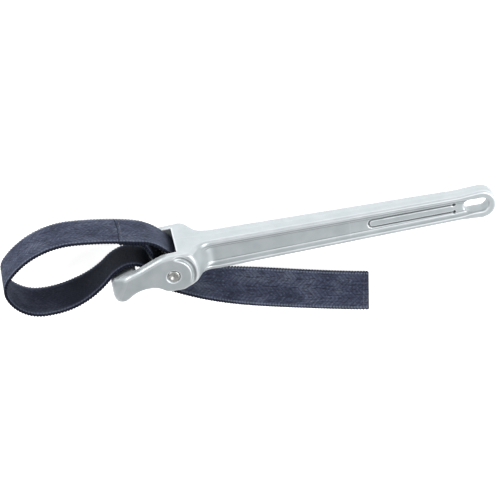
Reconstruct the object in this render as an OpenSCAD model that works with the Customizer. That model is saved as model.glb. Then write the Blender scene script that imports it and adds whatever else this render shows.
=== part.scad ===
// Strap wrench: a one-piece cast handle with a forked head, and a webbing strap that is sewn round a
// rivet in the fork. The strap loops round a pipe, passes over the head's tip bar, goes down through
// the fork and leaves as a loose tail.
// X runs along the handle, Y is across it in the plane of the loop, and Z is the rivet's axis.
// The origin is on the rivet's axis, on the outer face of the lower cheek, which is the face at rest.

/* [Handle] */
// Distance from the rivet to the centre of the hanging eye
eye_x = 241.8; // [180:0.5:300]
// Height of the handle's centreline above the rivet, in the loop's plane
axis_y = 3.1; // [0:0.1:6]
// Depth of the handle where it meets the head
root_depth = 26.8; // [22:0.1:28]
// Depth of the handle at the hanging eye
end_depth = 21.6; // [16:0.1:23]
// Thickness of the handle where it meets the head
root_thick = 18.2; // [14:0.1:20]
// Thickness of the handle at the hanging eye
end_thick = 12.6; // [9:0.1:14]
// Width of the rails that border the recess
rail_w = 4.8; // [3.5:0.1:6]
// Depth of the recess in each broad face
recess_depth = 2.6; // [1:0.1:3]

/* [Hanging eye] */
// Outer radius of the eye
eye_r = 12.4; // [10.5:0.05:14]
// Length of the hanging slot, end to end
slot_l = 19; // [14:0.5:20]
// Width of the hanging slot
slot_w = 11; // [8:0.5:12]

/* [Head] */
// Width of the head over both cheeks
head_w = 48; // [44:0.5:52]
// Thickness of each cheek
cheek_t = 7; // [5:0.25:8]
// Distance from the rivet to the tip of the nose
nose_x = 47.7; // [44:0.1:52]
// Radius of the round boss about the rivet
boss_r = 13.3; // [12:0.1:14]
// Length of the bar that joins the cheeks at the nose
tip_bar_l = 20.5; // [12:0.5:21]
// Depth of the strap's seat below the cheeks' edges, on the tip bar
seat_depth = 1; // [0.5:0.1:2.5]

/* [Rivet] */
// Radius of the rivet
rivet_r = 4.5; // [3.5:0.1:4.6]
// Radial gap between the rivet and its holes
rivet_gap = 0.02; // [0.01:0.01:0.1]
// Outer radius of the countersink round each end of the rivet
sink_r = 6; // [5.2:0.1:7]

/* [Strap] */
// Width of the webbing
strap_w = 30; // [26:0.5:31]
// Thickness of the webbing
strap_t = 2.3; // [1.8:0.1:2.4]
// Gap that opens the strap's loop where it meets the stretch in the fork, so that it can swing
loop_gap = 1.8; // [1.8:0.1:3]
// Gap between the stretch in the fork and the tail
tail_gap = 0.4; // [0.3:0.1:0.8]
// Length of one stitch
stitch_l = 3.2; // [2:0.1:4]
// Thickness of the sewing thread
thread_t = 0.5; // [0.3:0.1:0.8]

/* [Hidden] */
$fn = 96;
arc_step = 7;
chord_l = 5;

mid_z = head_w / 2;
slot_z = head_w - 2 * cheek_t;
root_x = 30;
shoulder_x = 15.5;
// Further than any part of the casting reaches to either side of the handle's line
across = 60;

// Half depth and half thickness of the handle at a distance along it
function along(x) = (x - root_x) / (eye_x - root_x);
function half_depth(x) = (root_depth + (end_depth - root_depth) * along(x)) / 2;
function half_thick(x) = (root_thick + (end_thick - root_thick) * along(x)) / 2;

// An outline with its corners rounded: each corner is [x, y, radius]
function unit(v) = v / norm(v);
function corner_arc(a, c, b) =
    let (p = [c[0], c[1]], r = c[2], u = unit([a[0], a[1]] - p), v = unit([b[0], b[1]] - p),
         half = acos(u * v) / 2, reach = r / tan(half), mid = p + unit(u + v) * r / sin(half),
         s = p + u * reach - mid, e = p + v * reach - mid, from = atan2(s[1], s[0]),
         sweep = ((atan2(e[1], e[0]) - from + 540) % 360) - 180, n = ceil(abs(sweep) / arc_step))
    r == 0 ? [p] : [for (i = [0 : n]) mid + r * [cos(from + sweep * i / n), sin(from + sweep * i / n)]];
function rounded(corners) = let (n = len(corners))
    [for (i = [0 : n - 1]) each corner_arc(corners[(i + n - 1) % n], corners[i], corners[(i + 1) % n])];

// ---------------------------------------------------------------- handle casting

// The casting seen along the rivet
module side_outline() {
    neck_x = eye_x - 16;
    end_x = eye_x + eye_r + 0.4;
    eye_half = eye_r + 0.8;
    polygon(rounded([
        [-nose_x, 2.2, 4], [-26.5, 8.6, 40], [-7, 17.3, 26], [11, 18.1, 20], [24, 16.6, 20],
        [root_x + 5, axis_y + half_depth(root_x + 5), 30],
        [neck_x, axis_y + half_depth(neck_x), 30],
        [end_x, axis_y + eye_half, eye_r - 0.4], [end_x, axis_y - eye_half, eye_r - 0.4],
        [neck_x, axis_y - half_depth(neck_x), 30],
        [root_x + 6, axis_y - half_depth(root_x + 6), 20], [17.5, -8.4, 9], [7, -13.8, 9],
        [-6, -13.6, 8], [-13.4, -8.2, 14], [-27, -7.8, 22], [-37.5, -15.6, 7],
        [-nose_x + 2.5, -12.4, 6]]));
}

// The casting seen along Y: a wide head that necks down to the handle, the same on both sides
module plan_outline() {
    end_x = eye_x + eye_r + 1;
    half = [[-nose_x, mid_z, 5], [shoulder_x, mid_z, 5], [root_x - 4, half_thick(root_x - 4), 9],
            [end_x, half_thick(eye_x), 0]];
    polygon(rounded(concat(half, [for (i = [3 : -1 : 0]) [half[i][0], -half[i][1], half[i][2]]])));
}

// What a plan outline covers, as a block across the whole casting
module across_y() {
    translate([0, across, mid_z]) rotate([90, 0, 0]) linear_extrude(2 * across) children();
}

module casting_blank() {
    intersection() {
        linear_extrude(head_w) side_outline();
        across_y() plan_outline();
    }
}

// The fork's slot: it is narrow at the mouth, and widens below to clear the strap's sewn eye
module fork_slot() {
    bar_x = tip_bar_l - nose_x;
    mouth_x = rivet_r + 0.4;
    wall_x = 9.4;
    ramp_top = 15;
    ramp_foot = 8.4;
    translate([0, 0, cheek_t]) linear_extrude(slot_z)
        polygon([[bar_x, -across], [bar_x, across], [mouth_x, across], [mouth_x, ramp_top],
                 [wall_x, ramp_foot], [wall_x, -across]]);
}

// The strap's seat over the tip bar, which goes on down the front of the nose
module strap_seat() {
    front_x = -nose_x + seat_depth * 0.8;
    back_x = tip_bar_l - nose_x + 0.1;
    front_y = 1.4;
    back_y = 8.9 - seat_depth;
    foot_y = -8;
    translate([0, 0, cheek_t]) linear_extrude(slot_z) difference() {
        translate([-nose_x - 5, foot_y]) square([tip_bar_l + 6, across]);
        polygon(rounded([[front_x, foot_y - 1, 0], [front_x, front_y, 5], [back_x, back_y, 3],
                         [back_x, foot_y - 1, 0]]));
    }
}

// The groove round the handle side of the rivet's boss
module boss_groove() {
    depth = 2.2;
    width = 2.6;
    from = -38;
    turn = 112;
    translate([0, 0, head_w - depth]) rotate([0, 0, from]) rotate_extrude(angle = turn)
        translate([boss_r + 0.6, 0]) polygon([[0, depth + 1], [width * 0.2, 0.4], [width * 0.46, 0],
                                              [width * 0.73, 0.4], [width, depth + 1]]);
}

// The recess in one broad face, with its sloping floor. It starts open on the head's shoulder, runs
// between the rails, and goes on round the hanging slot.
module recess() {
    lean = (root_x - 4 - shoulder_x) / (mid_z - half_thick(root_x - 4));
    left = root_x - 3.7 + recess_depth * lean;
    right = eye_x + eye_r;
    floor_z = half_thick(left) - recess_depth;
    intersection() {
        linear_extrude(head_w + 1) offset(delta = -rail_w) side_outline();
        across_y() polygon([[left, floor_z], [right, half_thick(right) - recess_depth],
                            [right, mid_z + 1], [left - (mid_z + 1 - floor_z) * lean, mid_z + 1]]);
    }
}

// The narrow groove round the long tongue in the recess, with a deeper pit at each open end
module tongue_groove() {
    tongue_x = 155;
    tongue_end = eye_x - slot_l / 2 - 11;
    tongue_r = 2.7;
    groove_w = 1;
    depth = 1.3;
    pit_r = 1.1;
    pit_depth = 0.8;
    up = head_w;
    floor_z = mid_z + half_thick(tongue_x) - recess_depth - depth;
    translate([0, axis_y, floor_z]) {
        linear_extrude(up) difference() {
            circle_end(tongue_x + tongue_r, tongue_end, tongue_r + groove_w);
            circle_end(tongue_x + tongue_r, tongue_end + 10, tongue_r);
        }
        for (side = [-1, 1]) translate([tongue_end, side * (tongue_r + groove_w / 2), -pit_depth])
            cylinder(h = up, r = pit_r, $fn = 24);
    }
}

// A bar with a round left end, in plan
module circle_end(from, to, r) {
    translate([from, 0]) circle(r = r, $fn = 48);
    translate([from, -r]) square([to - from, 2 * r]);
}

module hanging_slot() {
    run = (slot_l - slot_w) / 2;
    end_wall = 5.6;
    centre = eye_x + eye_r - end_wall - slot_l / 2;
    translate([centre, axis_y, 0]) linear_extrude(head_w) {
        for (end = [-1, 1]) translate([end * run, 0]) circle(r = slot_w / 2);
        square([2 * run, slot_w], center = true);
    }
}

module rivet_hole() {
    sink_depth = 1.3;
    translate([0, 0, -1]) cylinder(h = head_w + 2, r = rivet_r + rivet_gap);
    for (end = [0, 1]) translate([0, 0, mid_z]) mirror([0, 0, end])
        translate([0, 0, mid_z - sink_depth])
            cylinder(h = sink_depth + 0.01, r1 = rivet_r + rivet_gap, r2 = sink_r);
}

module handle_casting() {
    color("silver") difference() {
        casting_blank();
        fork_slot();
        strap_seat();
        rivet_hole();
        hanging_slot();
        for (side = [0, 1]) translate([0, 0, mid_z]) mirror([0, 0, side]) translate([0, 0, -mid_z]) {
            recess();
            tongue_groove();
            boss_groove();
        }
    }
}

module strap_rivet() {
    edge = 0.4;
    dimple_depth = 0.8;
    dimple_r = 2.6;
    color("gainsboro") difference() {
        union() {
            translate([0, 0, edge]) cylinder(h = head_w - 2 * edge, r = rivet_r);
            cylinder(h = edge, r1 = rivet_r - edge, r2 = rivet_r);
            translate([0, 0, head_w - edge]) cylinder(h = edge, r1 = rivet_r, r2 = rivet_r - edge);
        }
        translate([0, 0, head_w - dimple_depth])
            cylinder(h = dimple_depth + 0.01, r1 = dimple_r / 4, r2 = dimple_r);
    }
}

// ---------------------------------------------------------------- strap

// The strap's line is a chain of bends and straights in the loop's plane. Each is [radius, turn],
// with a left bend positive, or [0, length] for a straight.
eye_line_r = rivet_r + 0.15 + strap_t / 2;
ply_gap = strap_t - 0.05;
join_bend = 5.5;
doubled_bend = 3.4;
loop_r = 270;
outer_ply = [[22.9, 44], [0, 7.15], [33.5, 30], [loop_r, join_bend]];
inner_ply = [[-eye_line_r, 156], [0, 29.39], [6, 50], [loop_r - ply_gap, doubled_bend]];
loop_line = [[loop_r, 5.2], [62.4, 55.3], [15, 60], [29.1, 66.4], [69.96, 37.9]];
throat_line = [[68, 10.4], [-29, 27], [-15, 93], [27.4, 41]];

// The place and heading [x, y, heading] at the far end of one bend or straight that starts at p
function past(p, step) = step[0] == 0
    ? [p[0] + step[1] * cos(p[2]), p[1] + step[1] * sin(p[2]), p[2]]
    : let (h = p[2] + sign(step[0]) * step[1])
        [p[0] + step[0] * (sin(h) - sin(p[2])), p[1] - step[0] * (cos(h) - cos(p[2])), h];
function past_all(p, line, n) = n == 0 ? p : past(past_all(p, line, n - 1), line[n - 1]);
function end_of(p, line) = past_all(p, line, len(line));

eye_start = [eye_line_r, 0, 90];
loop_start = end_of(eye_start, outer_ply);
throat_start = end_of(loop_start, loop_line);
tail_start = end_of(throat_start, throat_line);

// The line as places and headings, no more than one arc step and one chord apart
function stations(start, line) = [for (i = [0 : len(line) - 1])
    let (p = past_all(start, line, i), r = line[i][0], run = line[i][1],
         n = r == 0 ? 1 : ceil(max(run / arc_step, abs(r) * run * PI / 180 / chord_l)))
    for (k = [1 : n]) past(p, [r, run * k / n])];
function offset_of(p, side) = [p[0] - side * sin(p[2]), p[1] + side * cos(p[2])];
function forward(p, gap) = [p[0] + gap * cos(p[2]), p[1] + gap * sin(p[2]), p[2]];

// Webbing that stands on edge about the middle plane and follows a line, cut back by a gap at each end
module strap_run(start, line, gaps = [0, 0]) {
    places = stations(start, line);
    last = len(places) - 1;
    run = concat([forward(start, gaps[0])], [for (i = [0 : last - 1]) places[i]],
        [forward(places[last], -gaps[1])]);
    sides = concat([for (p = run) offset_of(p, strap_t / 2)],
        [for (i = [len(run) - 1 : -1 : 0]) offset_of(run[i], -strap_t / 2)]);
    translate([0, 0, mid_z - strap_w / 2]) linear_extrude(strap_w) polygon(sides);
}

// Moves its children to a place and heading in the middle plane
module at(p) {
    translate([p[0], p[1], mid_z]) rotate([0, 0, p[2]]) children();
}

module strap_eye() {
    color("darkslategray") {
        strap_run(eye_start, outer_ply);
        strap_run([eye_line_r, 0, -90], inner_ply);
    }
}

module strap_loop() {
    color("darkslategray") strap_run(loop_start, loop_line);
}

module strap_throat() {
    color("darkslategray") strap_run(throat_start, throat_line, [loop_gap, tail_gap]);
}

// The tail: a cubic curve from the throat to the table, along which the webbing turns from its edge
// to its face. tail_end is the middle of the cut end.
tail_end = [151.7, -70.5, 8.4];
tail_lead_in = 9.4;
tail_lead_out = [31.2, -4.6, 2.1];
tail_turn = 62;
tail_turn_l = 0.67;
tail_rings = 28;
tail_from = [tail_start[0], tail_start[1], mid_z];
tail_points = [tail_from, tail_from + tail_lead_in * [cos(tail_start[2]), sin(tail_start[2]), 0],
               tail_end - tail_lead_out, tail_end];
function tail_at(t) = (1 - t) ^ 3 * tail_points[0] + 3 * (1 - t) ^ 2 * t * tail_points[1]
    + 3 * (1 - t) * t ^ 2 * tail_points[2] + t ^ 3 * tail_points[3];
function tail_heading(t) = unit(tail_at(t + 0.001) - tail_at(t - 0.001));
function smooth(f) = let (g = min(max(f, 0), 1)) g * g * (3 - 2 * g);
// The direction across the webbing's width, from its back edge to its front edge
function tail_across(t) = let (h = tail_heading(t), up = unit([0, 0, 1] - h * h[2]),
    turn = tail_turn * smooth(t / tail_turn_l)) up * cos(turn) + cross(h, up) * sin(turn);
function tail_normal(t) = cross(tail_heading(t), tail_across(t));
function tail_ring(t) = [for (c = [[-1, -1], [1, -1], [1, 1], [-1, 1]])
    tail_at(t) + tail_across(t) * c[0] * strap_w / 2 + tail_normal(t) * c[1] * strap_t / 2];

module tail_solid() {
    rings = [for (i = [0 : tail_rings]) each tail_ring(0.004 + 0.996 * i / tail_rings)];
    last = 4 * tail_rings;
    sides = [for (i = [0 : tail_rings - 1], k = [0 : 3]) let (a = 4 * i + k, b = 4 * i + (k + 1) % 4)
        each [[a, a + 4, b + 4], [a, b + 4, b]]];
    polyhedron(points = rings, faces = concat([[0, 1, 2, 3]], sides,
        [[last + 3, last + 2, last + 1, last]]));
}

module strap_tail() {
    color("darkslategray") tail_solid();
}

// One stitch lying on a face of webbing
module stitch() {
    lift = 0.06;
    translate([-stitch_l / 2, -thread_t / 2, lift]) cube([stitch_l, thread_t, thread_t]);
}

// Puts its children on the outer or the inner face of the doubled webbing, part of the way along it
module on_doubled(turn, inner) {
    at(past(past_all(eye_start, outer_ply, 3), [loop_r, turn]))
        translate([0, inner ? strap_t / 2 + ply_gap : -strap_t / 2, 0])
            rotate([inner ? -90 : 90, 0, 0]) children();
}

// A row of stitches along each edge of the doubled webbing, and one across it, on both its faces
module eye_stitching() {
    rows = 4;
    cross_rows = 5;
    first_turn = 0.45;
    last_turn = doubled_bend - 0.45;
    row_z = strap_w / 2 - 3;
    cross_pitch = row_z * 0.36;
    color("dimgray") for (inner = [false, true]) {
        for (i = [0 : rows - 1], side = [-1, 1])
            on_doubled(first_turn + (last_turn - first_turn) * i / (rows - 1), inner)
                translate([0, side * row_z, 0]) stitch();
        for (i = [0 : cross_rows - 1]) on_doubled(last_turn, inner)
            translate([0, (i - (cross_rows - 1) / 2) * cross_pitch, 0]) rotate([0, 0, 90]) stitch();
    }
}

// One row of stitches across the tail near its cut end, on both faces
module tail_stitching() {
    rows = 7;
    pitch = 4;
    t = 0.975;
    h = tail_heading(t);
    a = tail_across(t);
    n = tail_normal(t);
    color("dimgray") for (i = [0 : rows - 1], face = [-1, 1]) {
        spot = tail_at(t) + a * (i - (rows - 1) / 2) * pitch + n * face * strap_t / 2;
        multmatrix([[a[0], -h[0] * face, n[0] * face, spot[0]], [a[1], -h[1] * face, n[1] * face, spot[1]],
                    [a[2], -h[2] * face, n[2] * face, spot[2]], [0, 0, 0, 1]]) stitch();
    }
}

handle_casting();
strap_rivet();
strap_eye();
eye_stitching();
strap_loop();
strap_throat();
strap_tail();
tail_stitching();
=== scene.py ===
"""Looks for the strap wrench: the smooth alloy casting, its rivet, and the strap of flat webbing.

Lengths are in millimetres and become metres when a mesh is made. The strap's line repeats the
chain of bends of the part's own source.
"""
import math

import bpy
import numpy as np
from mathutils import Matrix, Vector


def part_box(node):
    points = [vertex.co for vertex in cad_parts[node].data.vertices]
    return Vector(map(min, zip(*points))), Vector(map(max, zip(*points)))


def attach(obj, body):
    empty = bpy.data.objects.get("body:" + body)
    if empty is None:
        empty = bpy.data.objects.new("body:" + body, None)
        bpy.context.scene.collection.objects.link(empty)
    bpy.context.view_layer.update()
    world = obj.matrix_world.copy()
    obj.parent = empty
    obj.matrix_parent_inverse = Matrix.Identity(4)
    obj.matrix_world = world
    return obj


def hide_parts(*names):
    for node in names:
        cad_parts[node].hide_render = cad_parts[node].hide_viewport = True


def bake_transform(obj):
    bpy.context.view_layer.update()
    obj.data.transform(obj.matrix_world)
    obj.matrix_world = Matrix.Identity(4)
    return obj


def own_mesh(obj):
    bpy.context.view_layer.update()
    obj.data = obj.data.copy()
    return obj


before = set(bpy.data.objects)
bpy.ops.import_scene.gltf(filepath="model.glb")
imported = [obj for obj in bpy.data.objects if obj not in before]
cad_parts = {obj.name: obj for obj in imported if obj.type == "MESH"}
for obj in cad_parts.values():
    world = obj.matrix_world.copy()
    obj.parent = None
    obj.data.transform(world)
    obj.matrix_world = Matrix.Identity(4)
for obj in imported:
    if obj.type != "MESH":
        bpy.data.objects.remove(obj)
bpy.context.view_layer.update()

MM = 0.001

# ---------------------------------------------------------------- sizes

STRAP_W = 30.0
STRAP_T = 2.3
MID_Z = 24.0                      # the strap's middle plane
HEAD_W = 1000 * (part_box("handle_casting")[1].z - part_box("handle_casting")[0].z)
RIVET_R = 4.5

# The strap's line in the loop's plane: [radius, turn in degrees], left positive, or [0, length]
EYE_R = RIVET_R + 0.15 + STRAP_T / 2
PLY_GAP = STRAP_T - 0.05
LOOP_R = 270
OUTER_PLY = [[22.9, 44], [0, 7.15], [33.5, 30], [LOOP_R, 5.5]]
INNER_PLY = [[-EYE_R, 156], [0, 29.39], [6, 50], [LOOP_R - PLY_GAP, 3.4]]
LOOP_LINE = [[LOOP_R, 5.2], [62.4, 55.3], [15, 60], [29.1, 66.4]]
LEAD_LINE = [[69.96, 37.9], [68, 10.4], [-29, 27]]
THROAT_LINE = [[-15, 93], [27.4, 41]]

# The tail is a cubic curve along which the webbing turns from its edge towards its face
TAIL_LEAD_IN = 9.4
TAIL_END = np.array([151.7, -70.5, 8.4])
TAIL_LEAD_OUT = np.array([31.2, -4.6, 2.1])
TAIL_TURN = 62
TAIL_TURN_L = 0.67

RING_STEP = 0.4                   # spacing of the webbing's rings along its length
PICK = 2.4                        # pitch of the bumps along the selvedges
INNER_SHADE = 0.5                       # painted shade on the face that grips the pipe, the inside of the loop
SLOT_SHADE_REACH = 20.0                  # painted shade: the webbing is darkest within this distance of the rivet's axis, inside the fork's slot


# ---------------------------------------------------------------- small tools

def smooth(f):
    """A soft step from 0 to 1 as f goes from 0 to 1."""
    g = np.clip(f, 0, 1)
    return g * g * (3 - 2 * g)


def unit(v):
    """v, or each row of v, at length 1."""
    v = np.asarray(v, float)
    return v / np.linalg.norm(v, axis=-1, keepdims=True)


def new_piece(name, points, faces, material, body, sharp=50):
    mesh = bpy.data.meshes.new(name)
    mesh.from_pydata((np.asarray(points) * MM).tolist(), [], faces)
    mesh.validate()
    mesh.materials.append(material)
    piece = bpy.data.objects.new(name, mesh)
    bpy.context.scene.collection.objects.link(piece)
    mesh.shade_smooth()
    mesh.set_sharp_from_angle(angle=math.radians(sharp))
    if body:
        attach(piece, body)
    return piece


# ---------------------------------------------------------------- materials

class Nodes:
    """Short names for the shader nodes that the materials use."""

    def __init__(self, name):
        self.material = bpy.data.materials.new(name)
        self.material.use_nodes = True
        self.tree = self.material.node_tree
        self.shader = self.tree.nodes["Principled BSDF"]

    def add(self, kind, inputs=(), **settings):
        node = self.tree.nodes.new(kind)
        for key, value in settings.items():
            setattr(node, key, value)
        for key, value in dict(inputs).items():
            self.put(node.inputs[key], value)
        return node

    def put(self, socket, value):
        if isinstance(value, bpy.types.NodeSocket):
            self.tree.links.new(value, socket)
        else:
            socket.default_value = value

    def set(self, **values):
        for key, value in values.items():
            self.put(self.shader.inputs[key.replace("_", " ")], value)

    def math(self, operation, a, b=0.0, c=0.0):
        return self.add("ShaderNodeMath", {0: a, 1: b, 2: c}, operation=operation).outputs[0]

    def noise(self, where, scale, detail=2.0, rough=0.5):
        inputs = {"Vector": where, "Scale": scale, "Detail": detail, "Roughness": rough}
        return self.add("ShaderNodeTexNoise", inputs).outputs["Fac"]

    def wave(self, turns):
        """|sin| of half turns: bumps one unit apart."""
        return self.math("ABSOLUTE", self.math("SINE", self.math("MULTIPLY", turns, math.pi)))

    def stretch(self, where, along, across):
        return self.add("ShaderNodeMapping", {"Vector": where, "Scale": (along, across, 0.0)}).outputs[0]

    def ramp(self, fac, stops):
        node = self.add("ShaderNodeValToRGB", {"Fac": fac})
        elements = node.color_ramp.elements
        while len(elements) < len(stops):
            elements.new(0.5)
        for element, (place, colour) in zip(elements, stops):
            element.position = place
            element.color = (*colour, 1) if hasattr(colour, "__len__") else (colour, colour, colour, 1)
        return node.outputs["Color"]

    def mix(self, fac, a, b, blend="MIX"):
        node = self.add("ShaderNodeMix", data_type="RGBA", blend_type=blend)
        self.put(node.inputs[0], fac)
        self.put(node.inputs[6], a if isinstance(a, bpy.types.NodeSocket) else (*a, 1))
        self.put(node.inputs[7], b if isinstance(b, bpy.types.NodeSocket) else (*b, 1))
        return node.outputs[2]

    def bump(self, height, strength, distance, under=None):
        node = self.add("ShaderNodeBump", {"Height": height, "Strength": strength, "Distance": distance})
        if under:
            self.put(node.inputs["Normal"], under)
        return node.outputs["Normal"]


def cast_alloy():
    """Satin silver casting: fine sand grain, cloudy tone, rubbed ridges brightened further by a painted
    highlight, and painted shade in sharp hollows.
    """
    n = Nodes("cast_alloy")
    where = n.add("ShaderNodeTexCoord").outputs["Object"]
    edge = n.add("ShaderNodeAttribute", attribute_name="edge").outputs["Fac"]
    cloud = n.noise(where, 90, 3, 0.55)
    grain = n.noise(where, 1500, 2, 0.6)
    colour = n.ramp(cloud, [(0.3, (0.375, 0.415, 0.43)), (0.7, (0.44, 0.475, 0.49))])
    colour = n.mix(n.math("MULTIPLY", grain, 0.16), colour, (0.36, 0.39, 0.40))
    # ridges: rubbed bright, and a painted highlight
    colour = n.mix(n.math("MULTIPLY", edge, 0.8), colour, (0.78, 0.81, 0.84))
    # sharp hollows: painted shade
    colour = n.mix(n.math("MULTIPLY", edge, -0.9), colour, (0.10, 0.11, 0.11))
    n.set(Base_Color=colour, Metallic=0.35)
    n.set(Roughness=n.math("MULTIPLY_ADD", cloud, 0.16, 0.36))
    n.set(Normal=n.bump(grain, 0.35, 0.00006, n.bump(cloud, 0.25, 0.0004)))
    return n.material


def rivet_steel():
    """Bright turned steel: fine rings and a few stains."""
    n = Nodes("rivet_steel")
    where = n.add("ShaderNodeTexCoord").outputs["Object"]
    axes = n.add("ShaderNodeSeparateXYZ", {0: where}).outputs
    radius = n.math("SQRT", n.math("ADD", n.math("POWER", axes[0], 2.0), n.math("POWER", axes[1], 2.0)))
    rings = n.math("SINE", n.math("MULTIPLY", radius, 16000))
    stain = n.noise(where, 600, 3, 0.6)
    n.set(Base_Color=n.ramp(stain, [(0.35, (0.42, 0.43, 0.41)), (0.65, (0.68, 0.69, 0.67))]), Metallic=0.85)
    n.set(Roughness=n.math("MULTIPLY_ADD", stain, 0.25, 0.22))
    n.set(Normal=n.bump(n.math("MULTIPLY_ADD", rings, 0.3, n.math("MULTIPLY", stain, 2.0)), 0.3, 0.00008))
    return n.material


def webbing():
    """Dark navy webbing. The attribute `weave` holds the place along, the place across and the dark: black
    selvedges and painted shade.
    """
    n = Nodes("webbing")
    weave = n.add("ShaderNodeAttribute", attribute_name="weave").outputs["Vector"]
    along, across, dark = n.add("ShaderNodeSeparateXYZ", {0: weave}).outputs
    off_middle = n.math("ABSOLUTE", across)
    yarn, twill_pitch, twill_slope, binder_pitch = 1.15, 3.6, 0.95, 8.2
    # fine ribs across the webbing, broken by columns of yarn that run along it
    rib = n.wave(n.math("MULTIPLY", along, 2 / PICK))
    column = n.math("DIVIDE", across, yarn)
    step = n.math("MULTIPLY", n.math("FLOOR", column), 0.5)
    over = n.wave(n.math("ADD", n.math("DIVIDE", along, PICK), step))
    height = n.math("MULTIPLY", n.math("POWER", n.wave(column), 0.6), n.math("POWER", over, 0.5))
    height = n.math("MULTIPLY_ADD", rib, 0.4, height)
    streak = n.noise(n.stretch(weave, 0.05, 0.55), 1.6, 3, 0.6)
    patch = n.noise(n.stretch(weave, 0.045, 0.07), 1.0, 2, 0.5)
    fleck = n.noise(n.stretch(weave, 0.42, 0.62), 1.0, 2, 0.7)
    warp = n.noise(n.stretch(weave, 0.12, 0.8), 1.0, 2, 0.6)
    base = n.ramp(patch, [(0.32, (0.033, 0.042, 0.078)), (0.52, (0.070, 0.084, 0.140)),
                          (0.70, (0.125, 0.145, 0.205))])
    base = n.mix(n.math("MULTIPLY", streak, 0.6), base, (0.018, 0.020, 0.036))
    # painted shade in the hollows of the weave, where its height is low
    base = n.mix(n.math("MULTIPLY", n.math("SUBTRACT", 1.2, height), 0.45), base, (0.008, 0.009, 0.018))
    base = n.mix(n.ramp(fleck, [(0.55, 0.0), (0.67, 0.34)]), base, (0.16, 0.19, 0.26))
    base = n.mix(n.ramp(warp, [(0.34, 0.75), (0.50, 0.0)]), base, (0.008, 0.009, 0.018))
    # herringbone: slanting ribs that turn back at each row of binder stitches
    zigzag = n.math("PINGPONG", n.math("ADD", across, 21.2), 6.9)
    twill = n.wave(n.math("DIVIDE", n.math("MULTIPLY_ADD", zigzag, twill_slope, along), twill_pitch))
    base = n.mix(n.math("MULTIPLY", n.math("SUBTRACT", 1.0, twill), 0.5), base, (0.010, 0.012, 0.026))
    # rows of binder stitches woven along the webbing, uneven as the yarns shift
    dash = None
    wander = n.math("MULTIPLY", n.math("SUBTRACT", streak, 0.5), 1.2)
    for place, phase in ((-7.2, 0.0), (-0.4, 0.35), (6.6, 0.7)):
        away = n.math("ABSOLUTE", n.math("ADD", n.math("SUBTRACT", across, place), wander))
        on = n.math("FRACT", n.math("MULTIPLY_ADD", along, 1 / binder_pitch, phase))
        one = n.math("MULTIPLY", n.math("LESS_THAN", away, 0.38), n.math("LESS_THAN", on, 0.42))
        dash = one if dash is None else n.math("MAXIMUM", dash, one)
    base = n.mix(n.math("MULTIPLY", dash, 0.5), base, (0.006, 0.007, 0.013))
    # a painted highlight on the row of loops just inside each selvedge, and the black selvedge itself
    bead_highlight = n.math("POWER", n.wave(n.math("DIVIDE", along, PICK)), 1.5)
    near_rim = n.math("MULTIPLY", n.math("GREATER_THAN", off_middle, 12.7),
                      n.math("LESS_THAN", off_middle, 13.9))
    base = n.mix(n.math("MULTIPLY", n.math("MULTIPLY", near_rim, bead_highlight), 0.5), base, (0.20, 0.23, 0.29))
    # the dark turns the base near black: the selvedges' own black, and painted shade in the slot, on the
    # inner face and in the crease
    base = n.mix(n.ramp(dark, [(0.0, 0.0), (0.35, 0.35), (0.8, 1.0)]), base, (0.003, 0.0048, 0.013))
    n.set(Base_Color=base, Roughness=0.74, Sheen_Weight=0.08, Sheen_Roughness=0.4)
    n.shader.inputs["Sheen Tint"].default_value = (0.6, 0.76, 1.0, 1)
    n.shader.inputs["Specular IOR Level"].default_value = 0.14
    relief = n.math("SUBTRACT", n.math("MULTIPLY_ADD", fleck, 0.35, height), n.math("MULTIPLY", dash, 0.5))
    n.set(Normal=n.bump(relief, 0.75, 0.00028))
    return n.material


def thread():
    """Twisted sewing thread, a little lighter than the webbing."""
    n = Nodes("thread")
    where = n.add("ShaderNodeTexCoord").outputs["Object"]
    fuzz = n.noise(where, 2500, 2, 0.6)
    colour = n.ramp(fuzz, [(0.35, (0.035, 0.038, 0.052)), (0.7, (0.12, 0.13, 0.16))])
    n.set(Base_Color=colour, Roughness=0.6)
    n.set(Normal=n.bump(fuzz, 0.5, 0.0001))
    return n.material


CAST, STEEL, WEBBING, THREAD = cast_alloy(), rivet_steel(), webbing(), thread()


# ---------------------------------------------------------------- casting

# The casting is worked out as distances on a grid, negative inside, so that every edge can be
# rounded and every recess can fade as it does in a casting. Then its surface is meshed.
EYE_X, AXIS_Y, EYE_R_OUT = 241.8, 3.1, 12.4
ROOT_X, SHOULDER_X, NOSE_X = 30.0, 19.2, 47.7
RECESS_DEPTH = 2.6
ROOT_HALF, END_HALF = 13.4, 10.8
ROOT_THICK, END_THICK = 9.1, 6.3
CHEEK_T, BAR_X = 7.0, -27.2
SLOT_X, SLOT_RUN, SLOT_R = 239.1, 4.0, 5.5
CELL = (0.5, 0.32, 0.4)


def half_depth(x):
    """Half the handle's width at x, in the plane of the loop."""
    return ROOT_HALF + (END_HALF - ROOT_HALF) * (x - ROOT_X) / (EYE_X - ROOT_X)


def half_thick(x):
    """Half the handle's thickness at x, along the rivet."""
    return ROOT_THICK + (END_THICK - ROOT_THICK) * (x - ROOT_X) / (EYE_X - ROOT_X)


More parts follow.
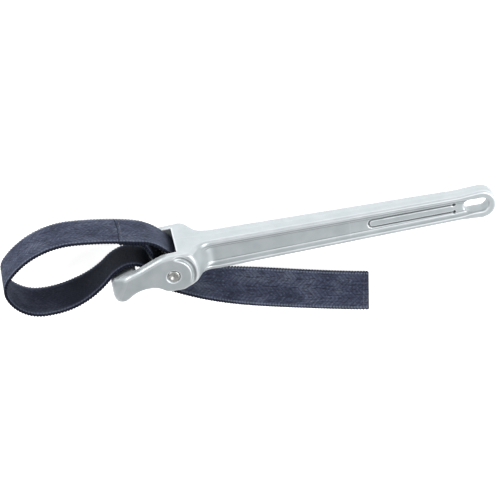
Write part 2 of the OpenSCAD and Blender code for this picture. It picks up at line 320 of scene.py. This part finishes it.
def rounded(corners):
    """An outline with its corners rounded: each corner is (x, y, radius)."""
    outline = []
    for k, (x, y, r) in enumerate(corners):
        p = np.array([x, y])
        u = unit(np.array(corners[k - 1][:2]) - p)
        v = unit(np.array(corners[(k + 1) % len(corners)][:2]) - p)
        half = math.acos(np.clip(u @ v, -1, 1)) / 2
        if r == 0:
            outline.append(p)
            continue
        middle = p + unit(u + v) * r / math.sin(half)
        start = p + u * r / math.tan(half) - middle
        stop = p + v * r / math.tan(half) - middle
        first = math.atan2(start[1], start[0])
        sweep = (math.atan2(stop[1], stop[0]) - first + 3 * math.pi) % (2 * math.pi) - math.pi
        steps = max(2, math.ceil(abs(sweep) / 0.07))
        angles = first + sweep * np.arange(steps + 1) / steps
        outline += [middle + r * np.array([math.cos(t), math.sin(t)]) for t in angles]
    return np.array(outline)


def side_outline():
    """The casting seen along the rivet."""
    neck = EYE_X - 16
    end, half = EYE_X + EYE_R_OUT + 0.4, EYE_R_OUT + 0.8
    return rounded([
        (-NOSE_X, 2.2, 5), (-26.5, 8.6, 40), (-7, 17.3, 26), (11, 18.1, 20), (24, 16.6, 20),
        (ROOT_X + 5, AXIS_Y + half_depth(ROOT_X + 5), 30), (neck, AXIS_Y + half_depth(neck), 30),
        (end, AXIS_Y + half, EYE_R_OUT - 0.4), (end, AXIS_Y - half, EYE_R_OUT - 0.4),
        (neck, AXIS_Y - half_depth(neck), 30), (ROOT_X + 6, AXIS_Y - half_depth(ROOT_X + 6), 20),
        (17.5, -8.4, 9), (7, -13.8, 9), (-6, -13.6, 8), (-13.4, -8.2, 14), (-27, -7.8, 22),
        (-38.5, -16.0, 6), (1.1 - NOSE_X, -13.8, 4.5)])


def plan_outline(sunk=0.0):
    """The casting seen along Y, as x and distance from the middle plane, with its face sunk or not."""
    neck = ROOT_X - 3.5 + 0.5 * sunk
    half = [(-NOSE_X - 6.3, HEAD_W / 2 - 15.5, 0), (9.2 - NOSE_X, HEAD_W / 2, 6),
            (SHOULDER_X, HEAD_W / 2, 4), (neck, half_thick(neck) - sunk, 11),
            (EYE_X + EYE_R_OUT + 1, half_thick(EYE_X) - sunk, 0)]
    return rounded(half + [(x, -z, r) for x, z, r in half[::-1]])


def distance(xs, ys, outline):
    """Signed distance to a closed outline at each place of a flat grid, negative inside."""
    a, b = outline, np.roll(outline, -1, axis=0)
    keep = np.linalg.norm(b - a, axis=1) > 1e-9
    a, b = a[keep], b[keep]
    x, y = np.meshgrid(xs, ys, indexing="ij")
    nearest = np.full(x.shape, 1e9)
    crossings = np.zeros(x.shape, int)
    for p, q in zip(a, b):
        run = q - p
        f = np.clip(((x - p[0]) * run[0] + (y - p[1]) * run[1]) / (run @ run), 0, 1)
        nearest = np.minimum(nearest, np.hypot(x - p[0] - f * run[0], y - p[1] - f * run[1]))
        if p[1] != q[1]:
            over = (p[1] > y) != (q[1] > y)
            crossings += over & (x < p[0] + (y - p[1]) * run[0] / run[1])
    return np.where(crossings % 2 == 1, -nearest, nearest)


def both(a, b, r):
    """What is inside a and b, with the edge between them rounded to radius r."""
    return np.minimum(-r, np.maximum(a, b)) + np.hypot(np.maximum(a + r, 0), np.maximum(b + r, 0))


def without(a, b, r):
    """What is inside a but not b, with the edge between them rounded to radius r."""
    return both(a, -b, r)


def recess(side):
    """How much of its depth the recess has: a sloping wall, then a small step to the floor."""
    inward = -side
    wall = 1 - np.clip((6.4 - inward) / 2.8, 0, 1) ** 2
    return 0.76 * wall + 0.24 * smooth((inward - 6.5) / 0.8)


def tongue_groove(xs, ys):
    """Depth below the recess's floor of the groove round the tongue, with its two pits."""
    x, y = np.meshgrid(xs, ys, indexing="ij")
    tongue_x, groove_end, reach = 157.7, 221.3, 3.2
    off = np.abs(y - AXIS_Y)
    path = np.abs(np.where(x > tongue_x, off, np.hypot(x - tongue_x, off)) - reach)
    groove = 1.7 * smooth((0.75 - path) / 0.45) * smooth((groove_end - x) / 1.0)
    pit = np.hypot(x - groove_end, off - reach)
    return np.maximum(groove, 2.2 * smooth((1.6 - pit) / 0.7))


def boss_groove(xs, ys):
    """The crescent groove round the handle side of the rivet's boss, fading out at both ends."""
    x, y = np.meshgrid(xs, ys, indexing="ij")
    turn = np.degrees(np.arctan2(y, x))
    fade = smooth((turn + 44) / 46) * smooth((92 - turn) / 34)
    return 1.8 * fade * smooth((2.6 - np.abs(np.hypot(x, y) - 15.8)) / 2.2)


def sampled(plane, xs, u):
    """Rows of a plane of distances at places u along x, one for each place of the side view."""
    where = np.clip((u - xs[0]) / (xs[1] - xs[0]), 0, len(xs) - 1.001)
    low = where.astype(int)
    share = (where - low)[:, :, None]
    return plane[low] * (1 - share) + plane[low + 1] * share


def casting_field(xs, ys, zs):
    """Distances for the whole casting."""
    x = xs[:, None, None]
    level = np.abs(zs - MID_Z)
    side_view = distance(xs, ys, side_outline())
    # the shoulder is round about the rivet, and straightens out where the handle begins
    reach = np.hypot(xs[:, None], 0.85 * (ys[None, :] - 2.0))
    u = xs[:, None] + (reach - xs[:, None]) * smooth(xs[:, None] / 8) * smooth((44 - xs[:, None]) / 20)
    # towards the nose the cheeks are bevelled, more at the top than below
    u = u - 0.5 * (ys[None, :] + 1.5) * smooth((-18 - xs[:, None]) / 12)
    draft = 0.035 * np.maximum(0, level - 1.0)[None, None, :] * smooth((x - 26) / 10)
    parting = 0.10 * np.exp(-((zs - MID_Z) / 0.55) ** 2)[None, None, :]
    side = side_view[:, :, None] + draft - parting
    edge_r = 3.0 - 0.7 * smooth((x - 4) / 14)
    field = both(side, sampled(distance(xs, zs - MID_Z, plan_outline()), xs, u), edge_r)
    sunk = both(side, sampled(distance(xs, zs - MID_Z, plan_outline(RECESS_DEPTH)), xs, u), edge_r)
    # the recess's rim widens at the eye, up to the hanging slot's edge
    depth = recess(side_view + 2.4 * smooth((xs[:, None] - SLOT_X + 15) / 17))
    field += depth[:, :, None] * (sunk - field)

    # grooves are cut from the recess's floor, and only in the handle's far half
    floor = half_thick(xs)[:, None] - RECESS_DEPTH * depth - tongue_groove(xs, ys)
    floor = np.where(xs[:, None] > 140, floor, 1e3)
    field = np.maximum(field, level[None, None, :] - floor[:, :, None])
    field = np.maximum(field, level[None, None, :] - HEAD_W / 2 + boss_groove(xs, ys)[:, :, None])

    between = (level - (HEAD_W / 2 - CHEEK_T))[None, None, :]
    mouth, wall = RIVET_R + 0.4, 9.4
    slot = distance(xs, ys, rounded([(BAR_X, -60, 0), (BAR_X, 60, 0), (mouth, 60, 0), (mouth, 15, 3),
                                     (wall, 8.4, 3), (wall, -60, 0)]))
    front, back, foot = 0.8 - NOSE_X, BAR_X + 0.1, -8.0
    bar = distance(xs, ys, rounded([(front, foot - 9, 0), (front, 1.4, 5), (back, 7.9, 3),
                                    (back, foot - 9, 0)]))
    before_back = np.maximum(xs[:, None] - back - 1, -60 - xs[:, None])
    seat = np.maximum(-bar, np.maximum(foot - ys[None, :], before_back))
    gap = np.maximum(np.minimum(slot, seat)[:, :, None], between)
    field = without(field, gap, 0.9)

    left, right = SLOT_X - SLOT_RUN - SLOT_R, SLOT_X + SLOT_RUN + SLOT_R
    low, high, r = AXIS_Y - SLOT_R, AXIS_Y + SLOT_R, SLOT_R - 0.01
    hole = distance(xs, ys, rounded([(left, low, r), (right, low, r), (right, high, r), (left, high, r)]))
    field = without(field, hole[:, :, None], 1.4)
    rho = np.hypot(xs[:, None], ys[None, :])[:, :, None]
    sink = RIVET_R + 0.15 + 0.9 * smooth((level - HEAD_W / 2 + 1.0) / 1.0)[None, None, :]
    return np.maximum(field, sink - rho)


def surface(field, xs, ys, zs):
    """The zero surface of a field as points and four-sided faces, one point to each mixed cell."""
    inside = field < 0
    nx, ny, nz = (size - 1 for size in inside.shape)
    total = sum(inside[i:nx + i, j:ny + j, k:nz + k].astype(np.int8)
                for i in (0, 1) for j in (0, 1) for k in (0, 1))
    cells = np.argwhere((total > 0) & (total < 8))
    number = np.full(total.shape, -1, np.int32)
    number[tuple(cells.T)] = np.arange(len(cells))
    corners = {(i, j, k): field[cells[:, 0] + i, cells[:, 1] + j, cells[:, 2] + k]
               for i in (0, 1) for j in (0, 1) for k in (0, 1)}
    place, count = np.zeros((len(cells), 3)), np.zeros(len(cells))
    for start, a in corners.items():
        for axis in range(3):
            if start[axis]:
                continue
            end = tuple(1 if n == axis else start[n] for n in range(3))
            b = corners[end]
            mixed = (a < 0) != (b < 0)
            f = np.where(mixed, a / np.where(a == b, 1, a - b), 0)
            for n in range(3):
                place[:, n] += mixed * (start[n] + (f if n == axis else 0))
            count += mixed
    place = place / count[:, None] + cells
    steps = np.array([xs[1] - xs[0], ys[1] - ys[0], zs[1] - zs[0]])
    points = np.array([xs[0], ys[0], zs[0]]) + place * steps
    faces = []
    for axis in range(3):
        u, v = (axis + 1) % 3, (axis + 2) % 3
        a = np.moveaxis(inside, (axis, u, v), (0, 1, 2))
        cell = np.moveaxis(number, (axis, u, v), (0, 1, 2))
        change = np.argwhere(a[:-1, 1:-1, 1:-1] != a[1:, 1:-1, 1:-1])
        i, j, k = change[:, 0], change[:, 1] + 1, change[:, 2] + 1
        quad = np.stack([cell[i, j - 1, k - 1], cell[i, j, k - 1], cell[i, j, k], cell[i, j - 1, k]], 1)
        flip = ~a[i, j, k]
        quad[flip] = quad[flip][:, ::-1]
        faces.append(quad)
    return points, np.concatenate(faces)


def edges_of(faces):
    """Each edge of four-sided faces once."""
    pairs = np.concatenate([faces[:, [k, (k + 1) % 4]] for k in range(4)])
    return np.unique(np.sort(pairs, axis=1), axis=0)


def relaxed(points, edges, rounds, share=0.5):
    """Evens out a surface by moving each point towards the middle of its neighbours."""
    i, j = edges.T
    count = np.bincount(np.concatenate([i, j]), minlength=len(points))[:, None]
    size = len(points)
    for _ in range(rounds):
        total = [np.bincount(i, points[j, k], size) + np.bincount(j, points[i, k], size) for k in range(3)]
        points = points + share * (np.stack(total, 1) / count - points)
    return points


def casting():
    """The casting as one skin: distances on the grid, meshed, then evened out once."""
    low, high = (1000 * np.array(corner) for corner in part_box("handle_casting"))
    xs, ys, zs = (np.arange(a - 1.3, b + 1.6, step) for a, b, step in zip(low, high, CELL))
    points, faces = surface(casting_field(xs, ys, zs), xs, ys, zs)
    edges = edges_of(faces)
    points = relaxed(points, edges, 1)
    piece = new_piece("casting_skin", points, faces.tolist(), CAST, "handle", sharp=180)
    mark_edges(piece, edges)
    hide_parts("handle_casting")


def mark_edges(piece, edges):
    """The attribute `edge` is 1 on sharp ridges, which are rubbed bright and given a painted highlight, and
    -1 in sharp hollows, which are given painted shade.
    """
    mesh = piece.data
    points = np.empty(3 * len(mesh.vertices))
    normals = np.empty(3 * len(mesh.vertices))
    mesh.vertices.foreach_get("co", points)
    mesh.vertex_normals.foreach_get("vector", normals)
    points, normals = points.reshape(-1, 3), normals.reshape(-1, 3)
    i, j = edges.T
    span = points[j] - points[i]
    length = np.maximum(np.linalg.norm(span, axis=1), 1e-9)
    # bend is the curvature per metre: a ridge shows from 60, fully at 460, and a hollow from 120, at 820
    bend = ((normals[j] - normals[i]) * span).sum(1) / length ** 2
    count = np.bincount(np.concatenate([i, j]), minlength=len(points))
    curve = (np.bincount(i, bend, len(points)) + np.bincount(j, bend, len(points))) / count
    edge = np.where(curve > 0, np.clip((curve - 60) / 400, 0, 1), np.clip((curve + 120) / 700, -1, 0))
    attribute = mesh.attributes.new("edge", "FLOAT", "POINT")
    attribute.data.foreach_set("value", edge.astype(np.float32))


# ---------------------------------------------------------------- rivet

def rivet():
    """The rivet, turned about its axis, with a softened edge and a shallow dimple at both ends."""
    half = HEAD_W / 2
    lows = [(0.0, 0.75), (0.7, 0.72), (1.6, 0.42), (2.4, 0.14), (3.2, 0.02), (3.7, 0.02), (4.15, 0.16),
            (4.4, 0.42), (RIVET_R, 0.9)]
    profile = [(r, half - low) for r, low in lows]
    profile += [(r, -z) for r, z in profile[::-1]]
    turns = 64
    points = [(0, 0, MID_Z + profile[0][1])]
    for r, z in profile[1:-1]:
        for k in range(turns):
            angle = 2 * math.pi * k / turns
            points.append((r * math.cos(angle), r * math.sin(angle), MID_Z + z))
    points.append((0, 0, MID_Z + profile[-1][1]))
    rings = len(profile) - 2
    faces = [(0, 1 + k, 1 + (k + 1) % turns) for k in range(turns)]
    for row in range(rings - 1):
        for k in range(turns):
            a, b = 1 + row * turns + k, 1 + row * turns + (k + 1) % turns
            faces.append((a, a + turns, b + turns, b))
    base, last = 1 + (rings - 1) * turns, len(points) - 1
    faces += [(base + k, last, base + (k + 1) % turns) for k in range(turns)]
    piece = new_piece("rivet_pin", points, faces, STEEL, "handle", sharp=60)
    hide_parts("strap_rivet")


# ---------------------------------------------------------------- the strap's line

def past(p, step):
    """The place and heading [x, y, degrees] at the far end of one bend or straight."""
    x, y, heading = p
    h = math.radians(heading)
    radius, run = step
    if radius == 0:
        return (x + run * math.cos(h), y + run * math.sin(h), heading)
    turned = heading + math.copysign(run, radius)
    t = math.radians(turned)
    return (x + radius * (math.sin(t) - math.sin(h)), y - radius * (math.cos(t) - math.cos(h)), turned)


def walk(p, line):
    """Places no more than a ring step apart along a line, without its start."""
    places = []
    for radius, run in line:
        length = run if radius == 0 else abs(math.radians(run) * radius)
        count = max(1, round(length / RING_STEP))
        places += [past(p, [radius, run * (k + 1) / count]) for k in range(count)]
        p = past(p, [radius, run])
    return places


class Line:
    """A stretch of the strap: middle points, headings, directions across, and length so far."""

    def __init__(self, points, headings, across, begin=0.0):
        self.points, self.headings = np.array(points), unit(headings)
        self.across = unit(across)
        steps = np.linalg.norm(np.diff(self.points, axis=0), axis=1)
        self.along = begin + np.concatenate([[0], np.cumsum(steps)])

    @property
    def end(self):
        return self.along[-1]


def flat_line(places, begin):
    """A stretch in the loop's plane, from places with headings."""
    places = np.array(places)
    h = np.radians(places[:, 2])
    lean = np.radians(lean_of(places))
    headings = np.stack([np.cos(h), np.sin(h), 0 * h], 1)
    across = np.stack([0 * h, -np.tan(lean), 1 + 0 * h], 1)
    points = np.column_stack([places[:, :2], np.full(len(places), MID_Z)])
    return Line(points, headings, across, begin)


def lean_of(places):
    """The lean in degrees along the loop: less on the upper band than the lower, none in the fork."""
    x, heading = places[:, 0], places[:, 2] % 720
    lower = smooth((heading - 200) / 130)
    out_of_fork = smooth((-4 - x) / 26) * (1 - lower) + smooth((-36 - x) / 46) * lower
    return (5.2 + 7.7 * lower) * out_of_fork


def tail_line(start, begin):
    """The tail's cubic curve, with its turn from edge to face."""
    h = math.radians(start[2])
    a = np.array([start[0], start[1], MID_Z])
    b = a + TAIL_LEAD_IN * np.array([math.cos(h), math.sin(h), 0])
    c, d = TAIL_END - TAIL_LEAD_OUT, TAIL_END
    t = np.linspace(0, 1, 430)[:, None]
    points = (1 - t) ** 3 * a + 3 * (1 - t) ** 2 * t * b + 3 * (1 - t) * t ** 2 * c + t ** 3 * d
    headings = unit(3 * (1 - t) ** 2 * (b - a) + 6 * (1 - t) * t * (c - b) + 3 * t ** 2 * (d - c))
    up = unit(np.array([0, 0, 1.0]) - headings * headings[:, 2:])
    turn = np.radians(TAIL_TURN) * smooth(t / TAIL_TURN_L)
    across = up * np.cos(turn) + np.cross(headings, up) * np.sin(turn)
    return Line(points, headings, across, begin)


def joined(*lines):
    """Several stretches as one."""
    first, rest = lines[0], lines[1:]
    rows = [np.concatenate([getattr(first, kind)] + [getattr(part, kind)[1:] for part in rest])
            for kind in ("points", "headings", "across")]
    return Line(*rows, first.along[0])


# ---------------------------------------------------------------- webbing

FACE_STEPS = 18
RIM_STEPS = 5
RIM = 1.1                         # how far in from each edge the webbing is rounded


def section():
    """The webbing's cross-section as (across, thickness, rim): across in mm, thickness from -1 to 1."""
    flat = STRAP_W / 2 - RIM
    face = [flat * (2 * k / FACE_STEPS - 1) for k in range(FACE_STEPS + 1)]
    turns = [math.pi * (k / RIM_STEPS - 0.5) for k in range(1, RIM_STEPS)]
    out = [(v, -1.0, 0.0) for v in face]
    out += [(flat + RIM * math.cos(t), math.sin(t), 1.0) for t in turns]
    out += [(v, 1.0, 0.0) for v in face[::-1]]
    out += [(-flat - RIM * math.cos(t), -math.sin(t), 1.0) for t in turns]
    return np.array(out)


def strip(name, line, body, crease=None, inner_shade=0.0):
    """Webbing along a line: flat faces, looped selvedges, closed ends, a crease across the outer face
    with painted shade in it, and painted shade on the inner face, which grips the pipe, and near the rivet."""
    shape = section()
    count, size = len(line.points), len(shape)
    normals = np.cross(line.headings, line.across)
    # the selvedges' loops, and the slight beads of the weave along both edges of the faces
    loops = np.abs(np.sin(np.pi * line.along / PICK))[:, None] ** 0.7
    rim = np.broadcast_to(shape[:, 2], (count, size))
    v = shape[:, 0] + np.sign(shape[:, 0]) * rim * (0.9 * loops - 0.45)
    beads = (np.abs(shape[:, 0]) > 12.4) * (0.16 * loops - 0.04)
    w = shape[:, 1] * (STRAP_T / 2 + beads) * np.where(rim > 0, 0.72 + 0.3 * loops, 1)
    # painted shade on the webbing near the rivet's axis, where it runs into the fork's slot
    slot_shade = 0.85 * smooth((SLOT_SHADE_REACH - np.linalg.norm(line.points[:, :2], axis=1)) / 7)[:, None]
    # the painted shade on the inner face is heaviest towards the tip bar, fades once past it, and is less
    # near the selvedges
    x, y = line.points[:, :1], line.points[:, 1:2]
    past_bar = smooth((x + 44) / 8) * smooth((2 - y) / 12)
    inner_shade_mask = (shape[:, 1] == -1) * (1 - 0.75 * smooth((np.abs(shape[:, 0]) - 11.5) / 1.5))
    painted_inner_shade = inner_shade * (1 + 0.55 * smooth((x + 100) / 32)) * (1 - past_bar) * inner_shade_mask
    # the dark: black selvedges, painted shade near the rivet and painted shade on the inner face
    dark = np.maximum(np.maximum(rim * (1.0 - 0.25 * loops), slot_shade), painted_inner_shade)
    if crease is not None:
        waver = 0.9 * (shape[:, 0] / 15) ** 2 + 0.25 * np.sin(shape[:, 0] * 0.9)
        away = line.along[:, None] - crease - waver
        dent = np.exp(-(away / 0.45) ** 2) * (shape[:, 1] == 1)
        swell = np.exp(-((away - 1.3) / 0.7) ** 2) * (shape[:, 1] == 1)
        w = w - 0.45 * dent + 0.16 * swell
        # painted shade in the crease
        dark = np.maximum(dark, 0.85 * dent)
    points = line.points[:, None] + v[..., None] * line.across[:, None]
    points = points + w[..., None] * normals[:, None]
    faces = []
    for row in range(count - 1):
        for k in range(size):
            a, b = row * size + k, row * size + (k + 1) % size
            faces.append((a, b, b + size, a + size))
    faces.append(tuple(range(size))[::-1])
    faces.append(tuple(range((count - 1) * size, count * size)))
    piece = new_piece(name, points.reshape(-1, 3), faces, WEBBING, body, sharp=60)
    weave = np.stack([np.repeat(line.along[:, None], size, 1), v, dark], 2)
    attribute = piece.data.attributes.new("weave", "FLOAT_VECTOR", "POINT")
    attribute.data.foreach_set("vector", weave.astype(np.float32).ravel())
    return piece


eye_start = (EYE_R, 0.0, 90.0)
outer_places = [eye_start] + walk(eye_start, OUTER_PLY)
inner_places = [(EYE_R, 0.0, -90.0)] + walk((EYE_R, 0.0, -90.0), INNER_PLY)
backward = [(x, y, h + 180) for x, y, h in inner_places[::-1]]
loop_places = [outer_places[-1]] + walk(outer_places[-1], LOOP_LINE)
lead_places = [loop_places[-1]] + walk(loop_places[-1], LEAD_LINE)
throat_places = [lead_places[-1]] + walk(lead_places[-1], THROAT_LINE)

# The cut end of the strap lies inside the doubled band; from there it goes back round the rivet
inner = flat_line(backward, 0.0)
outer = flat_line(outer_places, inner.end)
loop = flat_line(loop_places, outer.end)
lead = flat_line(lead_places, loop.end)
throat = flat_line(throat_places, lead.end)
tail = tail_line(throat_places[-1], throat.end)

doubled = outer.end - math.radians(OUTER_PLY[-1][1]) * LOOP_R       # where the two plies meet
doubled_l = math.radians(INNER_PLY[-1][1]) * LOOP_R

eye_band = strip("sewn_eye_band", joined(inner, outer), "sling", doubled + doubled_l, INNER_SHADE)
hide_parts("strap_eye")
loop_band = strip("loop_band", loop, "sling", inner_shade=INNER_SHADE)
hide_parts("strap_loop")
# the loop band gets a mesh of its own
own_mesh(loop_band)
lead_band = strip("lead_band", lead, None, inner_shade=INNER_SHADE)
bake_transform(lead_band)
tail_band = strip("tail_band", joined(throat, tail), None, inner_shade=INNER_SHADE)
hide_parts("strap_throat", "strap_tail")
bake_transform(tail_band)


# ---------------------------------------------------------------- stitches

def stitches(name, spots, body, node, length=3.0, radius=0.27):
    """Short arched threads. Each spot is (point, along, out), and the thread lies along `along`."""
    steps, sides = 8, 6
    points, faces = [], []
    for point, along, out in spots:
        side = np.cross(along, out)
        base = len(points)
        for i in range(steps + 1):
            f = 2 * i / steps - 1
            lift = 0.30 * math.sqrt(max(0.0, 1 - f * f)) - 0.12
            thick = radius * (0.55 + 0.45 * math.sqrt(max(0.0, 1 - f ** 4)))
            centre = point + along * f * length / 2 + out * lift
            for k in range(sides):
                angle = 2 * math.pi * k / sides
                points.append(centre + thick * (side * math.cos(angle) + out * math.sin(angle)))
        for i in range(steps):
            for k in range(sides):
                a, b = base + i * sides + k, base + i * sides + (k + 1) % sides
                faces.append((a, a + sides, b + sides, b))
        faces.append(tuple(base + k for k in range(sides)))
        faces.append(tuple(base + steps * sides + k for k in range(sides))[::-1])
    piece = new_piece(name, points, faces, THREAD, body, sharp=80)
    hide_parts(node)


def on_strip(line, where, v, face, crosswise=False):
    """A stitch's spot on a strip: `where` along it, v across, face -1 or 1."""
    i = int(np.abs(line.along - where).argmin())
    h, a = line.headings[i], line.across[i]
    out = np.cross(h, a) * face
    return line.points[i] + a * v + out * STRAP_T / 2, (a if crosswise else h), out


def sewn_eye():
    """Rows along both edges of the doubled band and one across it, on its outer and its inner face."""
    rows, row_v, inset = 4, STRAP_W / 2 - 3, 2.2
    spots = []
    for k in range(rows):
        f = inset + (doubled_l - 2 * inset) * k / (rows - 1)
        for v in (-row_v, row_v):
            spots += [on_strip(outer, doubled + f, v, 1), on_strip(inner, doubled_l - f, v, 1)]
    for v in np.arange(-8.6, 8.7, 4.3):
        spots += [on_strip(outer, doubled + doubled_l - inset, v, 1, crosswise=True),
                  on_strip(inner, inset, v, 1, crosswise=True)]
    return spots


stitches("eye_threads", sewn_eye(), "sling", "eye_stitching")
hem_at = tail.end - 4.2
hem = [on_strip(tail, hem_at, v, face, crosswise=True)
       for v in np.arange(-12.6, 12.7, 3.6) for face in (-1, 1)]
stitches("hem_threads", hem, "tail", "tail_stitching", length=2.6)
rivet()
casting()


# ---------------------------------------------------------------- floor, light and camera

def plain_floor():
    n = Nodes("pale_floor")
    n.set(Base_Color=(0.8, 0.8, 0.8, 1), Roughness=0.9, Emission_Strength=0.8)
    n.shader.inputs["Emission Color"].default_value = (1, 1, 1, 1)
    bpy.ops.mesh.primitive_plane_add(size=8, location=(0, 0, -0.0005))
    floor = bpy.context.object
    floor.name = "floor"
    floor.data.materials.append(n.material)


def area_light(name, azimuth, elevation, distance, size, power, target=(0.06, 0, 0.02)):
    """A square light that faces the target from that azimuth and elevation in degrees."""
    az, el = math.radians(azimuth), math.radians(elevation)
    towards = Vector((math.cos(az) * math.cos(el), math.sin(az) * math.cos(el), math.sin(el)))
    light = bpy.data.lights.new(name, "AREA")
    light.size = size
    light.energy = power
    lamp = bpy.data.objects.new(name, light)
    lamp.location = Vector(target) + towards * distance
    lamp.rotation_euler = towards.to_track_quat("Z", "Y").to_euler()
    bpy.context.scene.collection.objects.link(lamp)


def studio():
    world = bpy.data.worlds.new("studio")
    world.use_nodes = True
    background = world.node_tree.nodes["Background"]
    background.inputs["Color"].default_value = (1, 1, 1, 1)
    background.inputs["Strength"].default_value = 0.30
    bpy.context.scene.world = world
    bpy.context.scene.view_settings.view_transform = "Standard"
    area_light("key", 136, 12, 1.3, 0.6, 13.5)
    area_light("front", -4, 50, 1.5, 0.6, 24)


def camera():
    """Seen through a long lens from high on the +Y side, turned so that the handle points right."""
    right = unit([0.982, -0.113, 0.153])
    up = np.array([0.177, 0.834, -0.523])
    up = unit(up - right * (up @ right))
    back = np.cross(right, up)
    anchor = np.array([0, 0, MID_Z + 23])
    far = 2000
    place = (anchor + 57.6 * right + 19.9 * up + far * back) * MM
    lens = bpy.data.cameras.new("camera")
    lens.lens = 190.5
    lens.sensor_width = 36
    lens.clip_end = 20
    holder = bpy.data.objects.new("camera", lens)
    turn = Matrix((right, up, back)).transposed().to_4x4()
    holder.matrix_world = Matrix.Translation(Vector(place)) @ turn
    bpy.context.scene.collection.objects.link(holder)
    bpy.context.scene.camera = holder


plain_floor()
studio()
camera()
